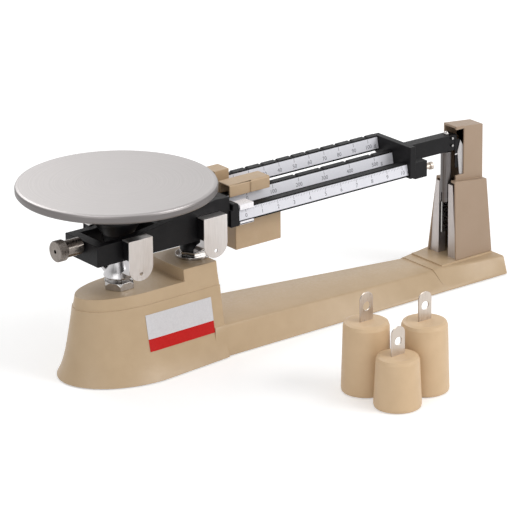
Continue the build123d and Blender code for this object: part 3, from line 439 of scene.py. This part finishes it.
STRIP_THICKNESS = 0.6 * MM
PRINT_DEPTH = 0.03 * MM
DIGIT_HEIGHT = 3.1 * MM
DIGIT_SHARE = 0.7          # a figure's height as a share of its type size
DIGIT_FOOT = 1.5 * MM      # above the strip's lower edge
MARK_TOP = 0.4 * MM        # below the strip's upper edge
MARK_LENGTHS = {"whole": 2.9 * MM, "half": 2.1 * MM, "fine": 1.4 * MM}
MARK_WIDTHS = {"whole": 0.34 * MM, "half": 0.2 * MM, "fine": 0.2 * MM}
UNIT_GAP = 2.6 * MM        # from the last mark to the unit letter, and more for each figure before it
UNIT_GAP_PER_FIGURE = 1.4 * MM
SCALES = (
    # strip, poise zero, step, steps, fine marks to a step, value of a step
    ("front_scale", 106.6 * MM, 15.64 * MM, 10, 10, 1),
    ("middle_scale", 121.8 * MM, 25.6 * MM, 5, 1, 100),
    ("rear_scale", 108.2 * MM, 15.03 * MM, 10, 1, 10),
)


def strip_face(node):
    """Origin at the strip's lower front edge and its unit directions along, up the face and out of it."""
    low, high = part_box(node)
    top_y = high[1] - STRIP_THICKNESS
    rise = Vector((0.0, top_y - low[1], high[2] - low[2]))
    up = rise.normalized()
    along = Vector((1.0, 0.0, 0.0))
    turn = Matrix((along, up, along.cross(up))).transposed().to_4x4()
    return turn, Vector((0.0, low[1], low[2])), rise.length


def bars_mesh(name, bars):
    """Closed thin boxes from rows of x0, x1, v0, v1: eight corners each, half sunk in the sheet."""
    rows = np.array(bars)
    pick = np.array([(0, 2), (1, 2), (1, 3), (0, 3)])
    flat = np.stack([rows[:, pick[:, 0]], rows[:, pick[:, 1]]], axis=-1)
    levels = np.array([-PRINT_DEPTH, PRINT_DEPTH])
    heights = np.broadcast_to(levels[None, :, None, None], flat.shape[:1] + (2, 4, 1))
    corners = np.concatenate([np.repeat(flat[:, None], 2, axis=1), heights], axis=-1)
    sides = np.array([(3, 2, 1, 0), (4, 5, 6, 7), (0, 1, 5, 4), (1, 2, 6, 5), (2, 3, 7, 6), (3, 0, 4, 7)])
    faces = (np.arange(len(rows))[:, None, None] * 8 + sides[None]).reshape(-1, 4)
    mesh = bpy.data.meshes.new(name)
    mesh.from_pydata(corners.reshape(-1, 3).tolist(), [], faces.tolist())
    return mesh


def digits_mesh(text, height, x, v):
    """Generic figures as thin solids, centred on x with their foot at v."""
    curve = bpy.data.curves.new("figures", "FONT")
    curve.body = text
    curve.size = height / DIGIT_SHARE
    curve.align_x = "CENTER"
    curve.extrude = PRINT_DEPTH
    curve.resolution_u = 3
    writer = bpy.data.objects.new("figures", curve)
    bpy.context.scene.collection.objects.link(writer)
    mesh = bpy.data.meshes.new_from_object(writer)
    mesh.transform(Matrix.Translation((x, v, 0.0)))
    bpy.data.objects.remove(writer)
    return mesh


def joined(name, meshes):
    """Several meshes as one."""
    work = bmesh.new()
    for mesh in meshes:
        work.from_mesh(mesh)
        bpy.data.meshes.remove(mesh)
    made = bpy.data.meshes.new(name)
    work.to_mesh(made)
    work.free()
    return made


def scale_print(node, zero, step, steps, fine, value):
    """Marks down from the strip's top edge and a figure under each whole step."""
    turn, origin, face_height = strip_face(node)
    top = face_height - MARK_TOP
    marks = []
    for index in range(steps * fine + 1):
        rank = "whole" if index % fine == 0 else "half" if index % (fine // 2) == 0 else "fine"
        half_width = MARK_WIDTHS[rank] / 2
        x = zero + index * step / fine
        marks.append((x - half_width, x + half_width, top - MARK_LENGTHS[rank], top))
    parts = [bars_mesh("marks", marks)]
    for index in range(steps + 1):
        parts.append(digits_mesh(str(index * value), DIGIT_HEIGHT, zero + index * step, DIGIT_FOOT))
    unit_place = zero + steps * step + UNIT_GAP + UNIT_GAP_PER_FIGURE * len(str(steps * value))
    parts.append(digits_mesh("g", DIGIT_HEIGHT, unit_place, DIGIT_FOOT))
    mesh = joined(node + "_print", parts)
    mesh.transform(Matrix.Translation(origin) @ turn)
    put(node + "_print", mesh, BODY_OF[node], "print_black")


# Plain sign on the pedestal's front: a grey field over a red band

SIGN_X = (3.8 * MM, 65.9 * MM)
SIGN_Z = (22.0 * MM, 31.3 * MM, 49.7 * MM)     # foot, top of the red band, top
SIGN_STEP = 0.8 * MM
SIGN_PROUD = 0.12 * MM
SIGN_SHEET = 0.25 * MM
SIGN_START_Y = -60.0 * MM      # in front of the casting, from where the grid is pushed back


def sign_part(name, z0, z1, material):
    """A flat grid of points pushed along +Y onto the casting's side, then given its sheet thickness."""
    columns = int((SIGN_X[1] - SIGN_X[0]) / SIGN_STEP)
    rows = int((z1 - z0) / SIGN_STEP)
    x, z = np.meshgrid(np.linspace(*SIGN_X, columns + 1), np.linspace(z0, z1, rows + 1))
    points = np.stack([x, np.full_like(x, SIGN_START_Y), z], axis=-1).reshape(-1, 3)
    first = (np.arange(rows)[:, None] * (columns + 1) + np.arange(columns)[None]).reshape(-1, 1)
    faces = first + np.array([[0, 1, columns + 2, columns + 1]])
    mesh = bpy.data.meshes.new(name)
    mesh.from_pydata(points.tolist(), [], faces.tolist())
    piece = bpy.data.objects.new(name, mesh)
    bpy.context.scene.collection.objects.link(piece)
    wrap = piece.modifiers.new("lay", "SHRINKWRAP")
    wrap.target = frame["nodes"]["base_casting"]
    wrap.wrap_method = "PROJECT"
    wrap.use_project_y = True
    wrap.offset = SIGN_PROUD
    sheet = piece.modifiers.new("sheet", "SOLIDIFY")
    sheet.thickness = SIGN_SHEET
    sheet.offset = 1.0
    laid = bpy.data.meshes.new_from_object(piece.evaluated_get(bpy.context.evaluated_depsgraph_get()))
    bpy.data.objects.remove(piece)
    put(name, laid, "base", material)


# Zero knob: a knurled ring on a plain hub, turned about the stud's axis

KNOB_X = (-57.0 * MM, -49.7 * MM, -34.7 * MM)      # left face, end of the ring, end of the hub
KNOB_Z = PIVOT_OF["zero_knob_turn"][2]
RING_R, HUB_R, BORE_R = 8.2 * MM, 6.6 * MM, 3.0 * MM
KNOB_BEVEL = 0.6 * MM
KNURLS = 56
KNURL_DEPTH = 0.35 * MM
KNURL_PITCH = 0.9 * MM
KNURL_ROWS = 28
SIDES_PER_KNURL = 6
KNOB_SHARP_ANGLE = 35.0
HUB_GROOVE = 0.4 * MM


def turned(profile, sides, ripple):
    """Rings of points round the X axis from rows of x, radius and ripple depth. The last ring joins
    the first.
    """
    rows = np.array(profile)
    angle = np.arange(sides) * 2 * np.pi / sides
    radius = rows[:, 1, None] - rows[:, 2, None] * ripple(angle[None], rows[:, 0, None])
    x = np.broadcast_to(rows[:, 0, None], radius.shape)
    points = np.stack([x, radius * np.cos(angle), radius * np.sin(angle)], axis=-1).reshape(-1, 3)
    ring = np.arange(len(rows))[:, None] * sides
    column = np.arange(sides)[None]
    beside = (column + 1) % sides
    after = np.roll(ring, -1, axis=0)
    faces = np.stack([ring + column, ring + beside, after + beside, after + column], axis=-1).reshape(-1, 4)
    return points, faces


def knurl(angle, x):
    """Share of the depth lost: two crossed sets of slanted grooves, 0 on a ridge and 1 in a groove."""
    slant = np.pi * x / KNURL_PITCH
    first = np.abs(np.sin(KNURLS * angle / 2 + slant))
    second = np.abs(np.sin(KNURLS * angle / 2 - slant))
    return 1.0 - np.minimum(first, second)


def plain(angle, x):
    """No ripple."""
    return np.zeros_like(angle)


def make_knob():
    """The ring's rim is knurled between two plain bevels, and a groove parts the ring from the hub."""
    left, ring_end, hub_end = KNOB_X
    recess = left + 2 * KNOB_BEVEL
    groove_end = ring_end + 2 * HUB_GROOVE
    groove_r = HUB_R - HUB_GROOVE
    knurled = np.linspace(left + KNOB_BEVEL, ring_end - KNOB_BEVEL, KNURL_ROWS)
    rim = [(x, RING_R, KNURL_DEPTH) for x in knurled]
    profile = [
        (left, BORE_R / 2, 0), (left, RING_R - KNOB_BEVEL, 0), *rim, (ring_end, RING_R - KNOB_BEVEL, 0),
        (ring_end, groove_r, 0), (groove_end, groove_r, 0), (groove_end, HUB_R, 0),
        (hub_end - KNOB_BEVEL, HUB_R, 0), (hub_end, HUB_R - KNOB_BEVEL, 0), (hub_end, BORE_R, 0),
        (recess, BORE_R, 0), (recess, BORE_R / 2, 0),
    ]
    points, faces = turned(profile, KNURLS * SIDES_PER_KNURL, knurl)
    mesh = bpy.data.meshes.new("zero_knob_turned")
    mesh.from_pydata(points.tolist(), [], faces.tolist())
    mesh.transform(Matrix.Translation((0.0, 0.0, KNOB_Z)))
    shade(mesh, KNOB_SHARP_ANGLE)
    node = "zero_knob"
    piece = put("zero_knob_turned", mesh, BODY_OF[node], finish_of(node))
    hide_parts(node)


# Small solids that only the scene has

def outward_mesh(work, name):
    """The working mesh as a shaded one whose faces point outwards."""
    bmesh.ops.recalc_face_normals(work, faces=work.faces)
    mesh = bpy.data.meshes.new(name)
    work.to_mesh(mesh)
    work.free()
    shade(mesh)
    return mesh


def extruded(name, outline, reach, body, material, bevel):
    """A flat outline of 3-D points pushed along the reach, with its edges bevelled."""
    work = bmesh.new()
    face = work.faces.new([work.verts.new(point) for point in outline])
    grown = bmesh.ops.extrude_face_region(work, geom=[face])["geom"]
    bmesh.ops.translate(work, verts=[g for g in grown if isinstance(g, bmesh.types.BMVert)], vec=reach)
    piece = put(name, outward_mesh(work, name), body, material)
    round_edges(piece, bevel)
    return piece


LATHE_SIDES = 64


def lathed(name, axis, rows, body, material):
    """A solid turned about the upright axis at x and y, from rows of height and radius in mm. Its
    ends are flat.
    """
    points, faces = turned([(z, r, 0) for z, r in rows], LATHE_SIDES, plain)
    upright = points[:, [1, 2, 0]] * MM + np.array([*axis, 0.0])
    last = LATHE_SIDES * (len(rows) - 1)
    kept = faces[:last].tolist()
    kept.append(list(range(LATHE_SIDES))[::-1])
    kept.append(list(range(last, last + LATHE_SIDES)))
    rough = bpy.data.meshes.new(name + "_rough")
    rough.from_pydata(upright.tolist(), [], kept)
    work = bmesh.new()
    work.from_mesh(rough)
    bpy.data.meshes.remove(rough)
    return put(name, outward_mesh(work, name), body, material)


# Stop block at the front bar's left end, with a small rounded lug on its top

STOP_X = (90.0 * MM, 98.3 * MM)
STOP_Y = (-22.6 * MM, -14.0 * MM)
STOP_Z = (98.4 * MM, 112.0 * MM)
LUG_X = (92.0 * MM, 97.6 * MM)
LUG_TOP = 117.4 * MM
LUG_ROUND = 2.4 * MM
LUG_POINTS = 7             # to each quarter circle
STOP_BEVEL = 0.5 * MM


def make_stop_block():
    """A side profile with a round-topped lug: two quarter circles join the lug's sides to its top."""
    high = LUG_TOP - LUG_ROUND
    turn = np.linspace(0.0, np.pi / 2, LUG_POINTS)
    right = [(LUG_X[1] - LUG_ROUND + LUG_ROUND * np.cos(a), high + LUG_ROUND * np.sin(a)) for a in turn]
    left = [(LUG_X[0] + LUG_ROUND - LUG_ROUND * np.sin(a), high + LUG_ROUND * np.cos(a)) for a in turn]
    side = [(STOP_X[0], STOP_Z[0]), (STOP_X[1], STOP_Z[0]), (STOP_X[1], STOP_Z[1]), (LUG_X[1], STOP_Z[1])]
    side += right + left + [(LUG_X[0], STOP_Z[1]), (STOP_X[0], STOP_Z[1])]
    outline = [(x, STOP_Y[0], z) for x, z in side]
    extruded("front_stop_block", outline, (0.0, STOP_Y[1] - STOP_Y[0], 0.0), "beam",
             "black_stove_enamel", STOP_BEVEL)


# Front rider: a bent clip whose lips show above and below the front scale

RIDER_X = (98.8 * MM, 112.0 * MM)
RIDER_OUTLINE = (
    # y and z in mm, round the clip's end
    (-22.7, 110.7), (-22.7, 115.0), (-12.0, 115.0), (-12.0, 98.9), (-23.0, 98.9), (-23.0, 101.4),
    (-21.8, 101.4), (-21.8, 100.35), (-13.2, 100.35), (-13.2, 111.7), (-21.6, 111.7), (-21.6, 110.7),
)
RIDER_BEVEL = 0.3 * MM


def make_rider():
    """The clip's end profile along the bar."""
    outline = [(RIDER_X[0], y * MM, z * MM) for y, z in RIDER_OUTLINE]
    piece = extruded("front_rider_clip", outline, (RIDER_X[1] - RIDER_X[0], 0.0, 0.0), "front_slider",
                     "white_plastic", RIDER_BEVEL)
    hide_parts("front_rider")


# Tower window: the white plate comes to a point at the zero level, and a black flag with a
# white zero line moves behind it on the pointer's end

INDICATOR_OUTLINE = ((340.4, 83.2), (340.4, 122.4), (338.6, 122.4), (333.2, 103.6), (335.3, 83.2))
FLAG_OUTLINE = ((331.0, 90.5), (338.6, 90.5), (338.6, 114.5), (331.0, 114.5))
ZERO_LINE_OUTLINE = ((330.9, 101.6), (336.2, 101.6), (336.2, 102.3), (330.9, 102.3))
STEM_BALL = (326.3, 0.0, 119.2, 2.3)      # x, y, z and radius in mm
BALL_RINGS = 15
WINDOW_PARTS = (
    # name, outline of x and z, front and back face in Y, body, node that lends its slot, finish and
    # bevel, all sizes in mm
    ("pointed_indicator_plate", INDICATOR_OUTLINE, (-6.1, -5.5), "base", "indicator_plate",
     "indicator_white", 0.1),
    ("zero_flag", FLAG_OUTLINE, (-5.35, -5.05), "beam", "pointer_stem", "black_stove_enamel", 0.03),
    ("zero_line", ZERO_LINE_OUTLINE, (-5.45, -5.3), "beam", "pointer_stem", "white_plastic", 0.03),
)


def make_window_parts():
    """Thin plates by their outlines, and the bright ball on the pointer's end."""
    for name, outline, (front, back), body, slot_node, finish_name, bevel in WINDOW_PARTS:
        face = [(x * MM, front * MM, z * MM) for x, z in outline]
        reach = (0.0, (back - front) * MM, 0.0)
        extruded(name, face, reach, body, finish_name, bevel * MM)
    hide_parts("indicator_plate")
    x, y, z, radius = STEM_BALL
    turn = np.linspace(-np.pi / 2, np.pi / 2, BALL_RINGS + 2)[1:-1]
    arc = [(z + radius * np.sin(a), radius * np.cos(a)) for a in turn]
    lathed("pointer_end_ball", (x * MM, y * MM), arc, "beam", "bright_nickel")


# Domed hubs of the two forked carriers, above the nuts: rows of height and radius in mm

PAN_AXIS = PIVOT_OF["pan_level"][:2]
FULCRUM_AXIS = PIVOT_OF["beam_swing"][:2]
PAN_HUB_ROWS = (
    (74.9, 9.4), (74.9, 11.0), (75.8, 11.6), (77.0, 11.4), (80.5, 9.2), (84.0, 7.4), (88.0, 6.2),
    (92.0, 5.6), (92.0, 3.0),
)
FULCRUM_HUB_ROWS = (
    (80.3, 7.0), (80.3, 9.6), (81.4, 10.0), (83.4, 9.6), (86.6, 8.0), (89.2, 5.8), (90.4, 3.4), (90.6, 1.0),
)


def make_hubs():
    """Each hub is turned about its station's upright axis."""
    for name, axis, rows, node, finish_name in (
            ("pan_fork_hub", PAN_AXIS, PAN_HUB_ROWS, "pan_stirrup", "satin_cast_zinc"),
            ("fulcrum_fork_hub", FULCRUM_AXIS, FULCRUM_HUB_ROWS, "fulcrum_stirrup", "black_stove_enamel")):
        lathed(name, axis, rows, BODY_OF[node], finish_name)


make_camera()
make_world()
make_lamps()
make_floor()
dress_nodes()
for row in SCALES:
    scale_print(*row)
sign_part("sign_band", SIGN_Z[0], SIGN_Z[1], "sign_red")
sign_part("sign_field", SIGN_Z[1], SIGN_Z[2], "sign_grey")
make_knob()
make_stop_block()
make_rider()
make_window_parts()
make_hubs()

bpy.context.scene.view_settings.view_transform = "Standard"
